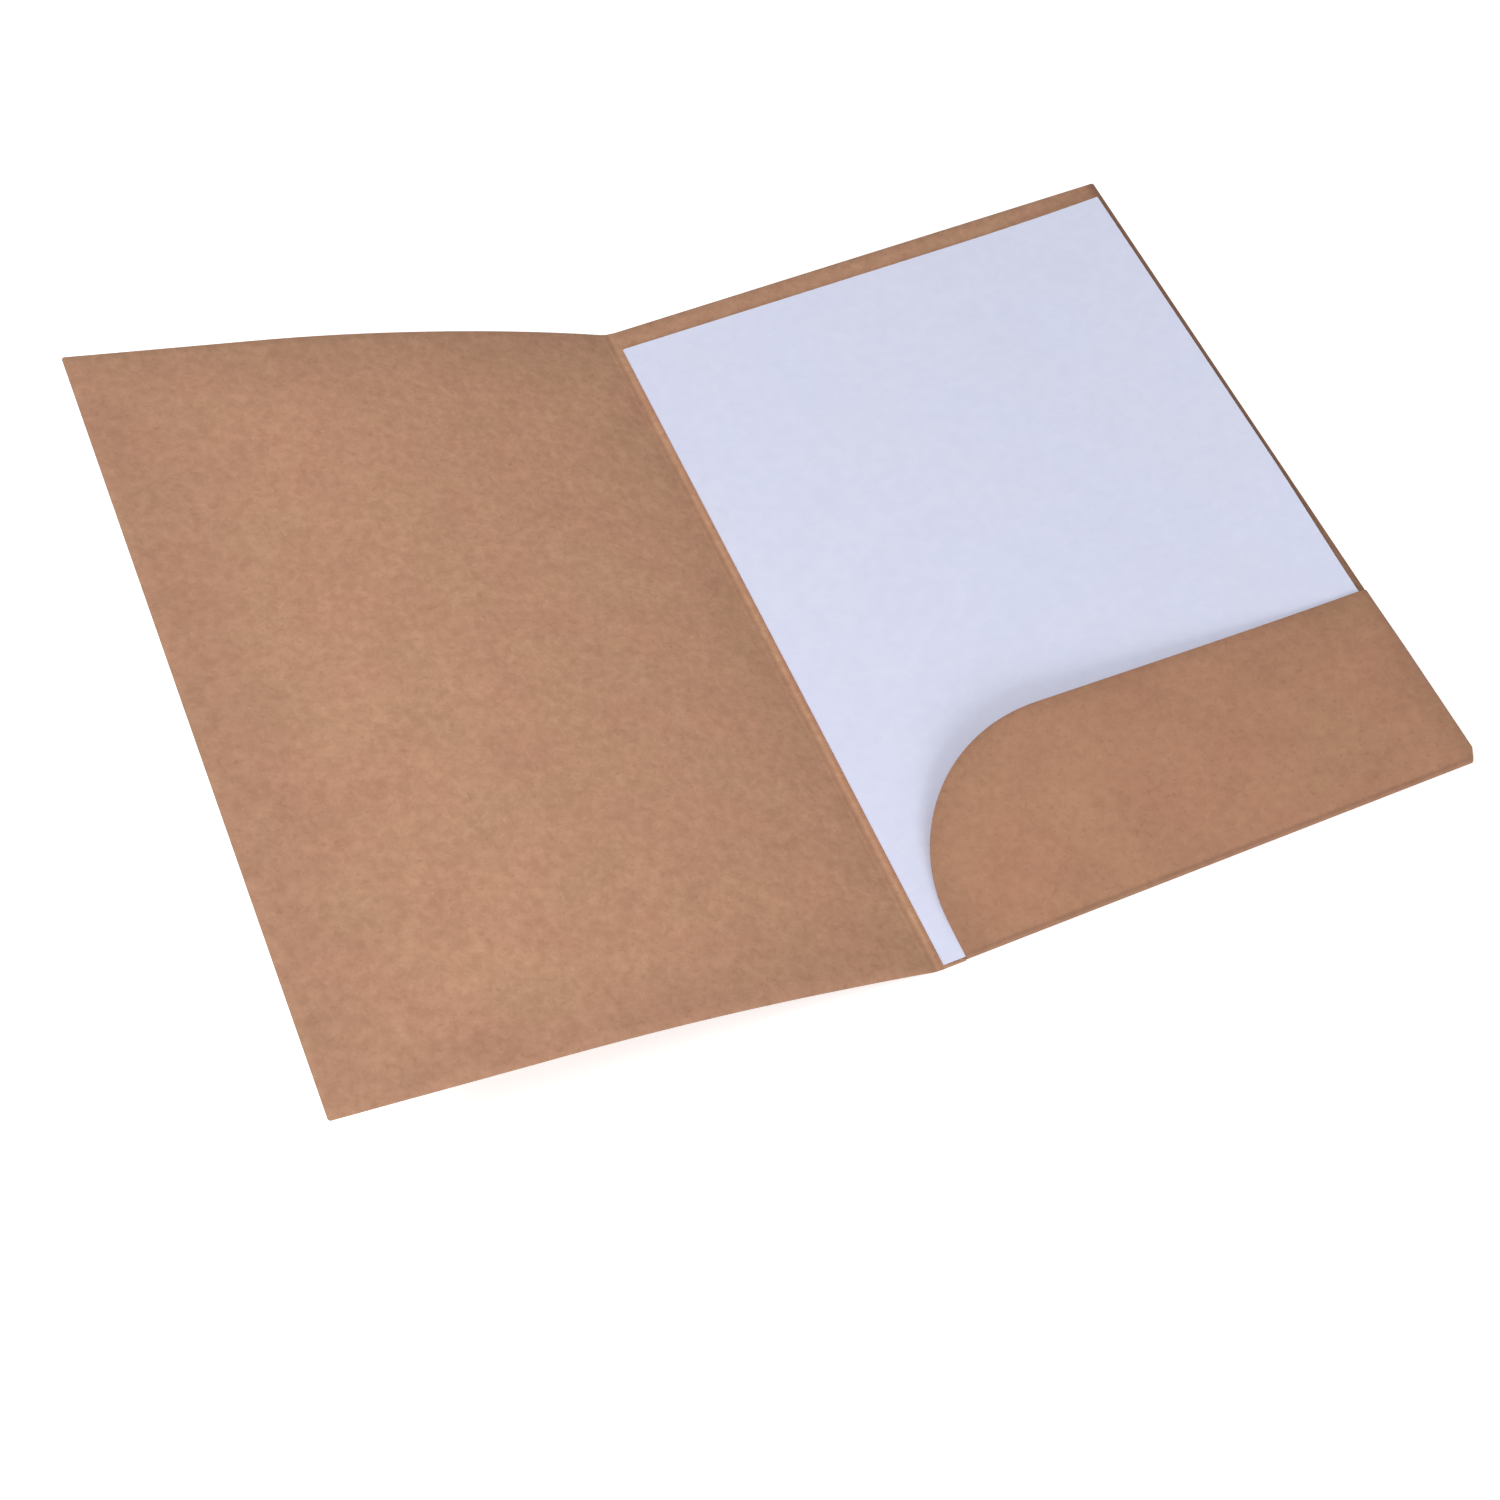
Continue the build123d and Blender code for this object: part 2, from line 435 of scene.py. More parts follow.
def make_felt():
    """The node group that gives the layers of the pulp their tones."""
    numbers = dict.fromkeys(scales + shares, "Float")
    inputs = {"Vector": "Vector", **numbers, **dict.fromkeys(tones, "Color")}
    outputs = {"Color": "Color", "Roughness": "Float", "Height": "Float"}
    tree, given, made = new_group("felt", inputs, outputs)
    fibres = tree.nodes.new("ShaderNodeGroup")
    fibres.node_tree = pulp
    for name in ("Vector", *scales):
        tree.links.new(given[name], fibres.inputs[name])
    layer = fibres.outputs
    wisps = link_range(tree, layer["Wisps"], *wide_span)
    clouds = link_range(tree, layer["Clouds"], *wide_span)
    tint = link_range(tree, layer["Tint"], *narrow_span)
    grain = link_range(tree, layer["Grain"], *narrow_span, 0.0, given["Grain Share"])
    pale = link_math(tree, "MULTIPLY", layer["Pale Hairs"], given["Hair Share"])
    dark = link_math(tree, "MULTIPLY", layer["Dark Hairs"], given["Hair Share"])
    specks = link_math(tree, "MULTIPLY", layer["Specks"], given["Speck Share"])
    colour = mix_colour(tree, wisps, given["Deep"], given["Light"])
    colour = mix_colour(tree, clouds, colour, given["Cloud"], "MULTIPLY")
    colour = mix_colour(tree, tint, colour, given["Tint"], "MULTIPLY")
    colour = mix_colour(tree, grain, colour, given["Dark"])
    colour = mix_colour(tree, pale, colour, given["Pale"])
    colour = mix_colour(tree, dark, colour, given["Dark"])
    colour = mix_colour(tree, specks, colour, given["Dark"])
    # wear and painted shade darken the colour by one tone
    colour = mix_colour(tree, given["Wear And Shade"], colour, given["Worn"], "MULTIPLY")
    gloss = (given["Smoothest"], given["Roughest"])
    tree.links.new(colour, made["Color"])
    tree.links.new(link_range(tree, layer["Grain"], *wide_span, *gloss), made["Roughness"])
    tree.links.new(layer["Height"], made["Height"])
    return tree


felt = make_felt()
print("felt group has", len(felt.nodes), "nodes")

# %% [markdown]
# ## Finishes
#
# Uncoated board and paper have no gloss to speak of: they scatter light, so the roughness is high
# and the specular level low. Each finish is one table of tones, scales and shares. The shader, the
# coordinates, the wear and painted shade that a piece carries and the bump stay in the material itself.

# %% A finish of felted fibres
fibre_height = 0.05 * mm


def felted(name, look):
    """A material of felted fibres from a table of its tones and shares."""
    material = bpy.data.materials.new(name)
    material.use_nodes = True
    tree = material.node_tree
    shader = tree.nodes["Principled BSDF"]
    shader.inputs["Specular IOR Level"].default_value = look["gloss"]
    fibres = tree.nodes.new("ShaderNodeGroup")
    fibres.node_tree = felt
    for key, value in look.items():
        socket = fibres.inputs.get(key.replace("_", " ").title())
        if socket:
            socket.default_value = (*value, 1.0) if isinstance(value, tuple) else value
    place = tree.nodes.new("ShaderNodeTexCoord")
    tree.links.new(place.outputs["Object"], fibres.inputs["Vector"])
    # one attribute carries both the wear and the painted shade of a piece
    if "worn" in look:
        wear_and_shade = tree.nodes.new("ShaderNodeAttribute")
        wear_and_shade.attribute_name = "wear_and_shade"
        tree.links.new(wear_and_shade.outputs["Fac"], fibres.inputs["Wear And Shade"])
    bump = tree.nodes.new("ShaderNodeBump")
    bump.inputs["Strength"].default_value = look["bump"]
    bump.inputs["Distance"].default_value = fibre_height
    tree.links.new(fibres.outputs["Height"], bump.inputs["Height"])
    tree.links.new(bump.outputs["Normal"], shader.inputs["Normal"])
    tree.links.new(fibres.outputs["Color"], shader.inputs["Base Color"])
    tree.links.new(fibres.outputs["Roughness"], shader.inputs["Roughness"])
    return material


print("fibres stand up by", fibre_height / mm, "mm at full bump")

# %% [markdown]
# ### Kraft board
#
# The board's two sides get two tones. The side that ends up inside the folder is paler. The flap
# of the pocket is turned up from the foot, so it shows the outer side, which is a little deeper and
# warmer. On the round of the foot the flap darkens most: that is painted shade, which takes back
# light that the front lamp puts on the round. The cut edge shows the dull heart of the board.

# %% The tones of the board
kraft_look = {
    "deep": (0.491, 0.259, 0.159),
    "light": (0.592, 0.321, 0.204),
    "cloud": (0.925, 0.915, 0.915),
    "tint": (0.990, 1.040, 1.010),
    "pale": (0.680, 0.430, 0.285),
    "dark": (0.310, 0.168, 0.105),
    # the worn tone darkens rubbed edges and also paints shade
    "worn": (0.870, 0.870, 0.880),
    "cloud_scale": 60.0,
    "wisp_scale": 270.0,
    "hair_scale": 420.0,
    "hair_share": 0.25,
    "speck_share": 0.25,
    "grain_share": 0.10,
    "bump": 0.35,
    "gloss": 0.25,
    "smoothest": 0.78,
    "roughest": 0.95,
}
outer_look = dict(
    kraft_look,
    deep=(0.437, 0.221, 0.134),
    light=(0.502, 0.259, 0.160),
    cloud=(0.915, 0.905, 0.905),
    pale=(0.600, 0.365, 0.235),
    dark=(0.270, 0.140, 0.086),
    cloud_scale=45.0,
    hair_share=0.18,
    grain_share=0.08,
)
# the pocket's deeper worn tone paints shade on the round of its foot
pocket_look = dict(outer_look, worn=(0.670, 0.670, 0.690))
cut_edge_look = dict(
    kraft_look,
    deep=(0.340, 0.200, 0.120),
    light=(0.460, 0.280, 0.170),
    hair_scale=1500.0,
    grain_share=0.25,
)
print("kraft tones", [tone for tone in tones if tone.lower() in kraft_look])

# %% [markdown]
# A skin that is thickened later takes three finishes: one for its own face, one for its cut edge
# and one for the face below.

# %% The inner side, the outer side, the pocket and the cut edge
kraft = felted("kraft_board", kraft_look)
kraft_outside = felted("kraft_outside", outer_look)
kraft_pocket = felted("kraft_pocket", pocket_look)
kraft_edge = felted("kraft_cut_edge", cut_edge_look)


def finish_board(piece, face=kraft, below=kraft_outside):
    """The finishes of a skin's own face, of its cut edge and of the face below."""
    for material in (face, kraft_edge, below):
        piece.data.materials.append(material)


print("board finishes", [look.name for look in (kraft, kraft_outside, kraft_pocket, kraft_edge)])

# %% [markdown]
# ### Wear and painted shade
#
# Hands and shelves rub a folder along its edges, so board darkens a little towards its outline. The
# same darkening also paints shade: far into the front cover from its free edge and its ends, less
# deeply along the seam at the score, where shade falls in the crease, and most on the round of the
# pocket's foot, where it takes back the front lamp's light. A node can find sharp edges by itself,
# but it would find the scores and the round folds too. So the lines are taken from a skin while it
# has no thickness yet. Then the nearness of each point to them is stored in the mesh, as an
# attribute that the finish reads.

# %% Mark the worn and shaded edges
wear_reach = 15 * mm


def ease(value, start, end):
    """Runs smoothly from zero at start to one at end."""
    share = min(max((value - start) / (end - start), 0), 1)
    return share * share * (3 - 2 * share)


def outline(piece):
    """The places of the points along the edge of a skin."""
    mesh = bmesh.new()
    mesh.from_mesh(piece.data)
    places = [point.co.copy() for point in mesh.verts if point.is_boundary]
    mesh.free()
    return places


def at_ends(place):
    """True for a place at the foot or the head of the folder."""
    return min(place.y - foot, head - place.y) < touch


def mark_wear_and_shade(piece, places, reach=wear_reach, depth=1):
    """Stores each point's wear and painted shade: its depth at the places of an outline, and zero a reach
    away.
    """
    rim = kdtree.KDTree(len(places))
    for order, place in enumerate(places):
        rim.insert(place, order)
    rim.balance()
    attributes = piece.data.attributes
    wear_and_shade = attributes.get("wear_and_shade") or attributes.new("wear_and_shade", "FLOAT", "POINT")
    for point in piece.data.vertices:
        worn = depth * (1 - ease(rim.find(point.co)[2], 0, reach))
        wear_and_shade.data[point.index].value = max(wear_and_shade.data[point.index].value, worn)
    print(piece.name, "is worn along", len(places), "places")


print("wear reaches", wear_reach / mm, "mm into the board")

# %% [markdown]
# ### The scores and the fore margin
#
# A scoring rule presses a line into the board. On the inside of the spine the fibres of the back
# score are pushed up and stretched, so they are paler and warmer, and that line also holds a painted
# highlight, the light that the bead catches. Next to the front score the board is darker: that is
# painted shade, for the shaded flank of the groove. The narrow margin at the fore edge is the
# darkest: that is painted shade, for the shadow that the raised sheets throw on it. The lines are
# too shallow to need shapes of their own, so they are tones. Each lies at a distance across the
# folder, which the board carries as an attribute, so that the lines stay on the board when it folds.

# %% Build the group for a line
full_share = 4  # a line has its full tone over a quarter of its width to each side


def make_line():
    """The node group for a line of another tone, its place and width in millimetres."""
    numbers = dict.fromkeys(("Across", "Place", "Width"), "Float")
    inputs = {"Color": "Color", "Tone": "Color", **numbers}
    tree, given, made = new_group("toned_line", inputs, {"Color": "Color"})
    off_line = link_math(tree, "SUBTRACT", given["Across"], given["Place"])
    off_line = link_math(tree, "ABSOLUTE", off_line, 0)
    full = link_math(tree, "DIVIDE", given["Width"], full_share)
    line = link_range(tree, off_line, full, given["Width"], 1.0, 0.0)
    toned = mix_colour(tree, line, given["Color"], given["Tone"], "MULTIPLY")
    tree.links.new(toned, made["Color"])
    return tree


toned_line = make_line()
print("line group has", len(toned_line.nodes), "nodes")

# %% [markdown]
# The spine and the back cover each get a copy of the inner side's finish, with their own lines laid
# over its colour. Places and widths are in millimetres from the back score.

# %% Draw the lines across the folder
# paler, warmer stretched fibres, with a painted highlight for the light that the bead catches
back_score_tone_and_highlight = dict(place=-0.6, width=1.1, tone=(1.06, 1.04, 1.00))
# painted shade beside the front score, for the shaded flank of the groove
front_score_shade = dict(place=-2.4, width=1.2, tone=(0.86, 0.85, 0.84))
# painted shade on the fore margin, for the shadow that the raised sheets throw
fore_margin_shade = dict(place=panel_width / mm, width=4.5, tone=(0.62, 0.60, 0.58))


def draw_line(material, place, width, tone):
    """Lays a toned line over the colour of a finish."""
    tree = material.node_tree
    base = tree.nodes["Principled BSDF"].inputs["Base Color"]
    across = tree.nodes.new("ShaderNodeAttribute")
    across.attribute_name = "across"
    line = tree.nodes.new("ShaderNodeGroup")
    line.node_tree = toned_line
    feed(tree, line.inputs["Color"], base.links[0].from_socket)
    feed(tree, line.inputs["Tone"], (*tone, 1.0))
    feed(tree, line.inputs["Across"], across.outputs["Fac"])
    feed(tree, line.inputs["Place"], place)
    feed(tree, line.inputs["Width"], width)
    tree.links.new(line.outputs["Color"], base)


def mark_across(piece):
    """Stores how far each point lies across the folder from the back score, in millimetres."""
    across = piece.data.attributes.new("across", "FLOAT", "POINT")
    for point in piece.data.vertices:
        across.data[point.index].value = (point.co.x - back_score.x) / mm


kraft_spine = kraft.copy()
kraft_spine.name = "kraft_spine"
draw_line(kraft_spine, **back_score_tone_and_highlight)
draw_line(kraft_spine, **front_score_shade)
kraft_back = kraft.copy()
kraft_back.name = "kraft_back"
draw_line(kraft_back, **fore_margin_shade)
print("lined finishes", [look.name for look in (kraft_spine, kraft_back)])

# %% [markdown]
# ### Office paper and glue
#
# The sheets have the same layers as the board, nearly white with the cool cast of bleached paper,
# and a smoother face. A plain white would look like plastic close to. The dry glue is a yellowish
# film with a little gloss.

# %% The sheets and the glue
paper_look = {
    "deep": (0.709, 0.739, 0.916),
    "light": (0.739, 0.768, 0.941),
    "cloud": (0.985, 0.985, 0.985),
    "tint": (1.010, 1.000, 0.990),
    "pale": (0.770, 0.795, 0.960),
    "dark": (0.580, 0.610, 0.760),
    "cloud_scale": 40.0,
    "wisp_scale": 200.0,
    "hair_scale": 900.0,
    "hair_share": 0.08,
    "speck_share": 0.03,
    "grain_share": 0.05,
    "bump": 0.12,
    "gloss": 0.3,
    "smoothest": 0.6,
    "roughest": 0.75,
}
glue_look = dict(
    paper_look,
    deep=(0.660, 0.600, 0.470),
    light=(0.780, 0.730, 0.610),
    pale=(0.800, 0.760, 0.650),
    dark=(0.560, 0.480, 0.340),
    gloss=0.5,
    smoothest=0.3,
    roughest=0.5,
)
paper = felted("office_paper", paper_look)
glue = felted("dry_glue", glue_look)
print("other finishes", [look.name for look in (paper, glue)])

# %% [markdown]
# ## The front cover
#
# The cover stands up from the spine, bowed in its first stretch and flat beyond it, and it is
# twisted: the head stands steeper than the foot. A Simple Deform modifier can bend or twist, but
# not follow two sections at once. So each point of the blank is sent to its place on a straight
# line between the section at the foot and the section at the head. Real board is never quite true,
# so a slow wave of a fraction of a millimetre is added, which dies away towards the spine.

# %% How the front cover bends
cover_twist = radians(2.3)
cover_bow = radians(10.8)
bow_reach = 143 * mm
wave_length = 75 * mm
wave_height = 0.35 * mm
wave_fade = 30 * mm
wave_layer = 0.5


def cover_section(angle, run):
    """A place in a section of the cover: an arc out of the score, then straight on."""
    turned = cover_bow * min(run / bow_reach, 1)
    chord = 2 * bow_reach / cover_bow * sin(turned / 2)
    along_arc = angle - turned / 2
    beyond = max(run - bow_reach, 0)
    along_flat = angle - cover_bow
    return front_score + Vector((
        -chord * cos(along_arc) - beyond * cos(along_flat),
        0,
        chord * sin(along_arc) + beyond * sin(along_flat),
    ))


def cover_place(run, y):
    """The inner face of the front cover, a run away from the score."""
    at_foot = cover_section(opening - cover_twist, run)
    at_head = cover_section(opening + cover_twist, run)
    place = at_foot.lerp(at_head, (y - foot) / (head - foot))
    place.y = y
    return place


def cover_bend(co):
    """Sends a point of the flat blank, which lies to the left of a score at zero, to the cover."""
    run = -co.x
    place = cover_place(run, co.y)
    fade = min(run / wave_fade, 1) ** 2
    spot = Vector((run / wave_length, co.y / wave_length, wave_layer))
    place.z += fade * wave_height * noise.noise(spot)
    return place


print("the middle of the free edge is", cover_place(panel_width, 0).z / mm, "mm up")

# %% [markdown]
# The blank is cut flat and bent once it has cells. It stops short of the score, where the spine's
# fold takes over. Its outline is then sorted, because the free edge and the two ends darken further
# in than the seam at the score: a little wear at the rim, and painted shade further in. Along the
# seam the darkening is painted shade, where shade falls in the crease.

# %% Cut and bend the front cover
fold_reach = 1.2 * mm
cell = 4 * mm
corner_radius = 1 * mm
# the free edge and the ends darken with wear at the rim and with painted shade further in
cover_wear_and_shade = 60 * mm
end_wear_and_shade = 40 * mm
# painted shade along the seam at the score, where shade falls in the crease
score_shade = 30 * mm
score_shade_depth = 0.45
front_seam = front_score.x - 2 * fold_reach

front_board = flat_piece("front_board", (-panel_width, foot), (-fold_reach, head), 0)
for end in (foot, head):
    round_corner(front_board, (-panel_width, end), corner_radius)
cut_cells(front_board, cell)
move_points(front_board, cover_bend)
front_outline = outline(front_board)
seam_edge = [place for place in front_outline if place.x > front_seam]
end_edges = [place for place in front_outline if at_ends(place)]
free_edge = [place for place in front_outline if place not in seam_edge + end_edges]
finish_board(front_board)
thicken(front_board, board, edge_round, seam=lambda co: co.x > front_seam)
# wear and painted shade from the ends and the free edge, painted shade along the seam
mark_wear_and_shade(front_board, end_edges, end_wear_and_shade)
mark_wear_and_shade(front_board, free_edge, cover_wear_and_shade)
mark_wear_and_shade(front_board, seam_edge, score_shade, score_shade_depth)
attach(front_board, "front")
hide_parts("front_cover")

# %% [markdown]
# ## The back cover
#
# The back cover lies flat on the table, so its skin is a rectangle with one rounded corner, a
# slanted cut where the folds of the pocket meet, and a step at the foot: along the pocket the board
# goes on as the fold. A Boolean could take these off, but it leaves long thin faces. The step is
# cut with two lines, and the strip beyond them is deleted.

# %% Cut the back cover
flap_foot = foot_fold_high.y
flap_spine = flap_low.x
flap_fore = side_fold_low.x
corner_cut_width = 3 * mm
corner_cut_height = 6 * mm
cut_place = (fore_edge - corner_cut_width, foot, 0)
cut_across = Vector((corner_cut_height, -corner_cut_width, 0)).normalized()
back_seam = back_score.x + 2 * fold_reach

back_board = flat_piece("back_board", (back_low.x + fold_reach, foot), (fore_edge, head), board)
round_corner(back_board, (fore_edge, head), corner_radius)
cut_line(back_board, (flap_spine, 0, 0), (1, 0, 0))
cut_line(back_board, (0, flap_foot, 0), (0, 1, 0))
open_piece(back_board)
select_points(back_board, lambda co: co.x > flap_spine - touch and co.y < flap_foot + touch)
bpy.ops.mesh.delete(type="FACE")
close_piece()
cut_line(back_board, cut_place, cut_across, drop_far_side=True)
cut_cells(back_board, cell)
free_edge = [place for place in outline(back_board) if place.x > back_seam]
finish_board(back_board, kraft_back)
thicken(back_board, board, edge_round, seam=lambda co: co.x < back_seam)
mark_wear_and_shade(back_board, free_edge)
mark_across(back_board)
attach(back_board, "back")
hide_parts("back_cover")

# %% [markdown]
# ## The spine
#
# A score lets board turn in a small curve instead of a sharp line. Each half of the spine is a
# strip from the flat of a cover, round its score, to the middle of the spine: a curve whose two
# ends run on the boards beside it and whose middle is drawn towards the score. The back score also
# leaves a fine bead on the inside. The strip starts flat and narrow, and a point's place across it
# is its share of the way round.

# %% How a half of the spine is folded
strip_width = 1 * mm
strip_columns = 12
bead_width = 0.45 * mm


def fold_strip(name, first, score, last, bead):
    """A strip round a score. first and last give the strip's ends at a place along the spine."""
    piece = flat_piece(name, (-strip_width, foot), (0, head), 0)
    for column in range(1, strip_columns):
        cut_line(piece, (-strip_width * column / strip_columns, 0, 0), (1, 0, 0))
    for row in range(1, ceil((head - foot) / cell)):
        cut_line(piece, (0, foot + row * cell, 0), (0, 1, 0))

    def bend(co):
        """Sends a point of the flat strip to its place round the score."""
        share = -co.x / strip_width
        corner = Vector((score.x, co.y, score.z))
        onward = corner.lerp(last(co.y), share)
        place = first(co.y).lerp(corner, share).lerp(onward, share)
        off_score = (place.x - corner.x) / bead_width
        place.z += bead / (1 + off_score ** 4)
        return place

    move_points(piece, bend)
    ends = [place for place in outline(piece) if at_ends(place)]
    finish_board(piece, kraft_spine)
    thicken(piece, board)
    mark_wear_and_shade(piece, ends)
    mark_across(piece)
    return piece


print("the spine is", spine_run.length / mm, "mm wide")

# %% [markdown]
# A stiff strip would open gaps beside the scores when the folder shuts. So each half follows one
# body at one end and the next body at the other, and the board stays whole.

# %% Fold the two halves of the spine
bead_height = 0.10 * mm
spine_middle = back_score + spine_run / 2


def at_back(y):
    """Where the back cover's skin ends."""
    return Vector((back_score.x + fold_reach, y, back_score.z))


def at_middle(y):
    """The middle of the spine."""
    return Vector((spine_middle.x, y, spine_middle.z))


def at_front(y):
    """Where the front cover's skin starts."""
    return cover_place(fold_reach, y)


back_fold = fold_strip("back_fold", at_back, back_score, at_middle, bead_height)
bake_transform(back_fold, "back", "spine", start=at_back(0), end=at_middle(0))
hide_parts("spine_strip")

front_fold = fold_strip("front_fold", at_middle, front_score, at_front, 0)
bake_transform(front_fold, "spine", "front", start=at_middle(0), end=at_front(0))
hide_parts("spine_strip")

# %% [markdown]
# ## The pocket
#
# The free corner of the flap is bent up beyond the diagonal from one fold's end to the other's,
# which lifts it off the sheets as in the photograph. The bend is tightest at the diagonal and runs
# out nearly straight, as stiff board bends. The glue pulls the upper end of the side fold down, so
# it is pinched there.

# %% How the flap bends
flap_head = flap_high.y
pocket_corner_radius = 66 * mm
corner_lift = flap_high.z - flap_low.z - board
lift_start = 18 * mm
fold_pinch = 0.4
pinch_length = 32 * mm
sheet_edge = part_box("sheet_1")[1].x

diagonal = Vector((flap_fore - flap_spine, flap_head - flap_foot, 0))
across_diagonal = Vector((-diagonal.y, diagonal.x, 0)).normalized()
corner_center = Vector((pocket_corner_radius, diagonal.y - pocket_corner_radius, 0))
lift_reach = across_diagonal.dot(corner_center) + pocket_corner_radius


def bent_up(beyond):
    """The rise at a distance beyond the diagonal, before it is scaled to the corner's lift."""
    return sqrt(lift_start ** 2 + beyond ** 2) - lift_start


def flap_bend(co):
    """Bends what lies beyond the diagonal up, and pinches the upper end of the side fold."""
    beyond = max(across_diagonal.dot(co - Vector((flap_spine, flap_foot, 0))), 0)
    lift = corner_lift * bent_up(beyond) / bent_up(lift_reach)
    past_sheets = ease(co.x, sheet_edge, fore_edge)
    pinch = fold_pinch * past_sheets * ease(co.y, flap_head - pinch_length, flap_head)
    return co + Vector((0, 0, lift - pinch * (co.z - side_fold_low.z)))


print("the flap's corner is lifted by", corner_lift / mm, "mm")

# %% [markdown]
# The pocket's skin is cut flat at the level of its upper face, with the large round at its free
# corner. Then its foot is spun round half a turn to the level of the table, and its fore edge half
# a turn to the glue tab. A bevel would round a sharp fold too, but a spin keeps the radius that the
# solid has. Where the two folds would meet, the slanted cut takes the corner off. A spin can turn
# faces over, so the normals are made to agree, and turned up if they point down.

# %% Cut and fold the pocket
flap_top = flap_low.z + board
foot_fold_radius = (foot_fold_high.z - foot_fold_low.z) / 2
side_fold_radius = (side_fold_high.z - side_fold_low.z) / 2
fold_steps = 10
pocket_corner_steps = 32
# painted shade on the round of the foot, against the front lamp's light there
foot_shade = 1.2 * mm

pocket_board = flat_piece(
    "pocket_board", (flap_spine, flap_foot), (flap_fore, flap_head), flap_top
)
round_corner(pocket_board, (flap_spine, flap_head), pocket_corner_radius, pocket_corner_steps)
cut_cells(pocket_board, cell)
cut_line(pocket_board, (0, flap_foot + foot_shade, 0), (0, 1, 0))
flat_outline = outline(pocket_board)

foot_center = (0, flap_foot, foot_fold_radius)
side_center = (flap_fore, 0, side_fold_high.z - side_fold_radius)
foot_turn = (1, flap_foot, foot_center, (-1, 0, 0))
side_turn = (0, flap_fore, side_center, (0, -1, 0))
for side, edge, center, axis in (foot_turn, side_turn):
    open_piece(pocket_board)
    select_points(
        pocket_board, lambda co: abs(co[side] - edge) < touch and co.z > flap_top - touch
    )
    bpy.ops.mesh.spin(steps=fold_steps, angle=pi, center=center, axis=axis)
    close_piece()
cut_line(pocket_board, cut_place, cut_across, drop_far_side=True)

open_piece(pocket_board)
bpy.ops.mesh.select_all(action="SELECT")
bpy.ops.mesh.remove_doubles(threshold=touch)
bpy.ops.mesh.normals_make_consistent(inside=False)
close_piece()
move_points(pocket_board, flap_bend)
if sum(face.normal.z * face.area for face in pocket_board.data.polygons) < 0:
    open_piece(pocket_board)
    bpy.ops.mesh.select_all(action="SELECT")
    bpy.ops.mesh.flip_normals()
    close_piece()
print("the pocket's skin has", len(pocket_board.data.polygons), "faces")

# %% [markdown]
# The flap is worn along its free edge and darker a little further in along its upper edge. On the
# round of the foot it is darkest: that is painted shade, which takes back light that the front lamp
# puts on the round.

# %% Finish the pocket
# the flap darkens further in along its upper edge
upper_darkening = 45 * mm
edge_wear_depth = 0.44
upper_darkening_depth = 0.29
upper_line = flap_head - pocket_corner_radius / 4
foot_line = flap_foot - foot_fold_radius / 4

free_edge = [flap_bend(place) for place in flat_outline if place.y > flap_foot + touch]
upper_edge = [place for place in free_edge if place.y > upper_line]
skin_places = [point.co.copy() for point in pocket_board.data.vertices]
foot_round = [place for place in skin_places if place.y < foot_line]
finish_board(pocket_board, kraft_pocket, kraft)
thicken(pocket_board, board, edge_round)
mark_wear_and_shade(pocket_board, free_edge, depth=edge_wear_depth)
mark_wear_and_shade(pocket_board, upper_edge, upper_darkening, upper_darkening_depth)
# painted shade on the round of the foot
mark_wear_and_shade(pocket_board, foot_round, foot_shade)
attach(pocket_board, "back")
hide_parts("pocket_flap", "foot_fold", "side_fold")

# %% [markdown]
# ## The sheets
#
# Five loose sheets of office paper stand in the pocket. They rest on the glue tab there, and sink
# on to the cover towards the head, while their free corner at the fore edge curls up a little. A
# cloth simulation could find this sag, but paper is stiff and lies nearly flat, so a smooth curve
# does it. All the sheets follow the same curve, so that they never cut through each other. No hand
# squares a stack perfectly, so every sheet but the top one has slipped by a few tenths of a
# millimetre.

# %% Lay the sheets
sheet_cell = 9 * mm
sheet_sink = 0.55 * mm
sheet_curl = 2.2 * mm
curl_width = 70 * mm
slip = 0.3 * mm
slip_turn = 2.4  # radians from one sheet to the next, so that no two slip alike
sheet_nodes = sorted(name for name in frame["nodes"] if name.startswith("sheet_"))


def sheet_sag(co):
    """Lets a point of a sheet sink towards the head, and curl up towards the fore edge."""
    sink = sheet_sink * ease(co.y, flap_head, head)
    near_edge = max(co.x - fore_edge + curl_width, 0) / curl_width
    curl = sheet_curl * ease(co.y, flap_head, 0) * near_edge ** 2
    return co + Vector((0, 0, curl - sink))


for order, node in enumerate(sheet_nodes):
    low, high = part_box(node)
    aside = slip * sin(slip_turn * order) if node != sheet_nodes[-1] else 0
    left, right = low.x + aside, high.x + aside
    sheet = flat_piece(f"paper_{order + 1}", (left, low.y), (right, high.y), high.z)
    cut_cells(sheet, sheet_cell)
    move_points(sheet, sheet_sag)
    for material in (paper, paper, paper):  # its face, its edge and the face below
        sheet.data.materials.append(material)
    thicken(sheet, high.z - low.z)
    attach(sheet, node)
    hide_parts(node)

# %% [markdown]
# ## The hidden tab and its glue
#
# The tab that holds the pocket and the film of glue under it are right as solids, so they only get
# their finish.

# %% Finish the glue tab
for node, material in (("glue_tab", kraft), ("glue_line", glue)):
    slots = frame["nodes"][node].data.materials
    slots.clear()
    slots.append(material)
    print(node, "is finished in", material.name)

# %% [markdown]
# ## The table
#
# The folder lies on a plain white table. Strong lamps could make it white, but they would bleach
# the folder too. So the table is lifted to white for the camera alone, and is a plain surface to
# everything else. The background stays white, and the folder still has its shadow.

# %% Set the table
white = (1.0, 1.0, 1.0, 1.0)
floor_colour = (0.95, 0.95, 0.95, 1.0)
floor_size = 6.0
floor_gap = mm / 10
floor_lift = 0.5


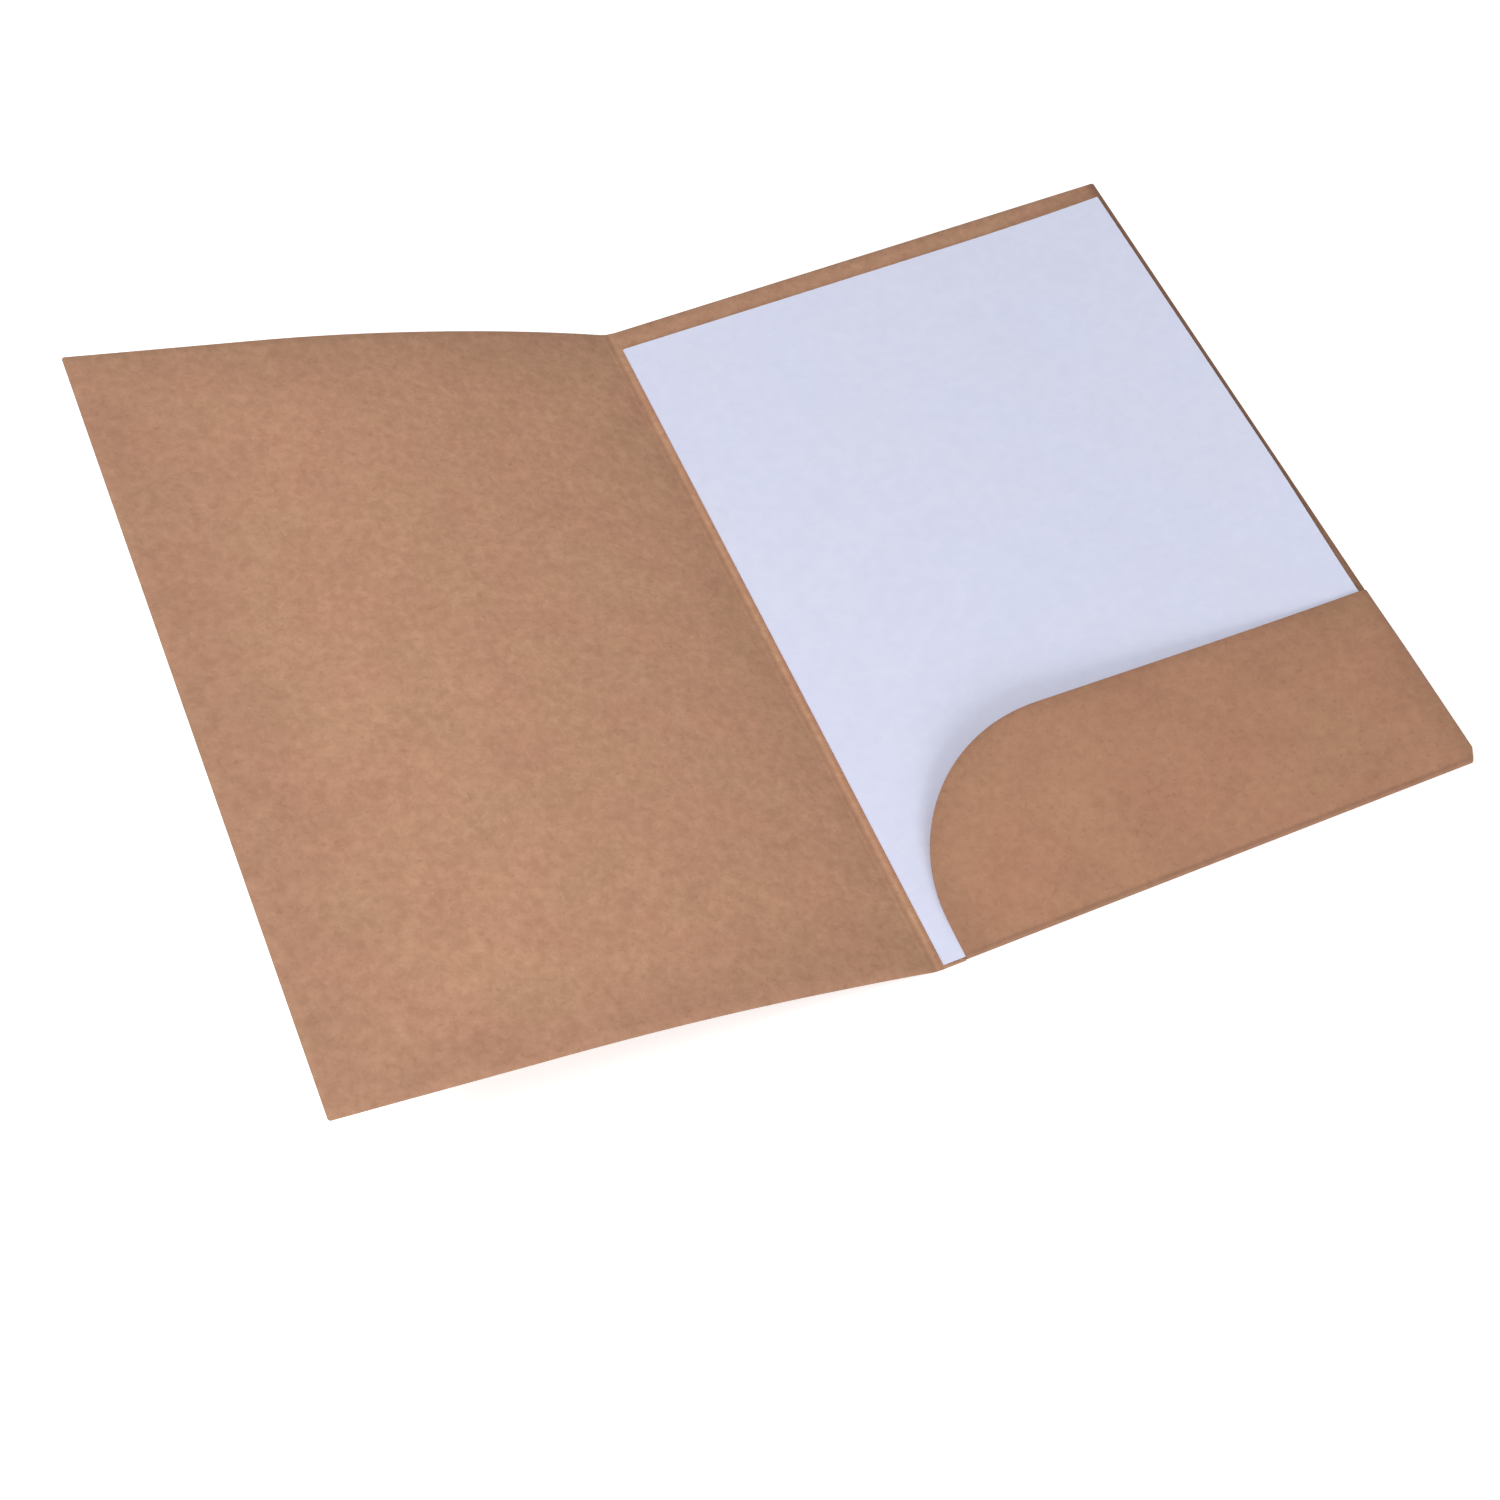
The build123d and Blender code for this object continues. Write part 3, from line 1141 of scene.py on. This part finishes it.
def seen_by_camera(tree):
    """One for rays that the camera sees, straight or mirrored, and zero for all others."""
    rays = tree.nodes.new("ShaderNodeLightPath")
    seen = rays.outputs["Is Camera Ray"]
    for kind in ("Is Glossy Ray", "Is Transmission Ray"):
        seen = link_math(tree, "MAXIMUM", seen, rays.outputs[kind])
    return seen


bpy.ops.object.select_all(action="DESELECT")
bpy.ops.mesh.primitive_plane_add(size=floor_size, location=(0, 0, -floor_gap))
floor = bpy.context.active_object
floor.name = "floor"
floor_white = bpy.data.materials.new("floor_white")
floor_white.use_nodes = True
table = floor_white.node_tree
floor_shader = table.nodes["Principled BSDF"]
floor_shader.inputs["Base Color"].default_value = floor_colour
floor_shader.inputs["Roughness"].default_value = 1.0
floor_shader.inputs["Specular IOR Level"].default_value = 0.0
floor_shader.inputs["Emission Color"].default_value = white
lifted = link_math(table, "MULTIPLY", seen_by_camera(table), floor_lift)
table.links.new(lifted, floor_shader.inputs["Emission Strength"])
floor.data.materials.append(floor_white)
print("the table is", floor_size, "m wide")

# %% [markdown]
# ## Light
#
# The room's soft white light does half of the work. Two large soft lamps do the rest, as in a
# product studio: one hangs on the left, so that the sheets throw a shadow on to the margin at the
# fore edge, and one stands far off in front, low, so that the flap throws a long soft shadow up the
# sheets. The world is white to the camera, as the table is.

# %% Light the room
room_light = 0.45
lamp_target = Vector((-0.1, 0, 0))
lamps = {
    "left_lamp": dict(place=(-0.873, -0.282, 1.153), size=0.6, power=8.7),
    "front_lamp": dict(place=(-0.544, -3.163, 1.087), size=1.44, power=60.0),
}

world = bpy.data.worlds.new("room")
world.use_nodes = True
bpy.context.scene.world = world
sky = world.node_tree
background = sky.nodes["Background"]
background.inputs["Color"].default_value = white
strength = link_range(sky, seen_by_camera(sky), 0.0, 1.0, room_light, 1.0)
sky.links.new(strength, background.inputs["Strength"])


def add_lamp(name, place, size, power):
    """A round soft lamp that looks at the middle of the folder."""
    data = bpy.data.lights.new(name, "AREA")
    data.shape = "DISK"
    data.size = size
    data.energy = power
    lamp = bpy.data.objects.new(name, data)
    lamp.location = place
    lamp.rotation_euler = (lamp_target - Vector(place)).to_track_quat("-Z", "Y").to_euler()
    bpy.context.scene.collection.objects.link(lamp)
    print(name, "of", power, "W at", place)


for name, lamp in lamps.items():
    add_lamp(name, **lamp)

# %% [markdown]
# ## The camera
#
# The camera stands in front of the folder's foot, on the front cover's side, and looks down at
# about sixty degrees. It could be placed by eye, but a lens and a distance trade off against each
# other. Its place, its lens and a small shift were found by matching the edges of the folder with
# the photograph.

# %% Place the camera
camera_place = (-0.32435, -0.49921, 0.78146)
camera_turn = (31.361, -1.810, -24.151)  # degrees
camera_shift = (-0.0652, 0.0246)
camera_lens = 61.78
sensor_width = 36.0

camera_data = bpy.data.cameras.new("camera")
camera_data.sensor_width = sensor_width
camera_data.lens = camera_lens
camera_data.shift_x, camera_data.shift_y = camera_shift
camera = bpy.data.objects.new("camera", camera_data)
camera.location = camera_place
camera.rotation_euler = [radians(angle) for angle in camera_turn]
bpy.context.scene.collection.objects.link(camera)
bpy.context.scene.camera = camera
bpy.context.scene.view_settings.view_transform = "Standard"
print("camera at", camera_place, "with a lens of", camera_lens, "mm")
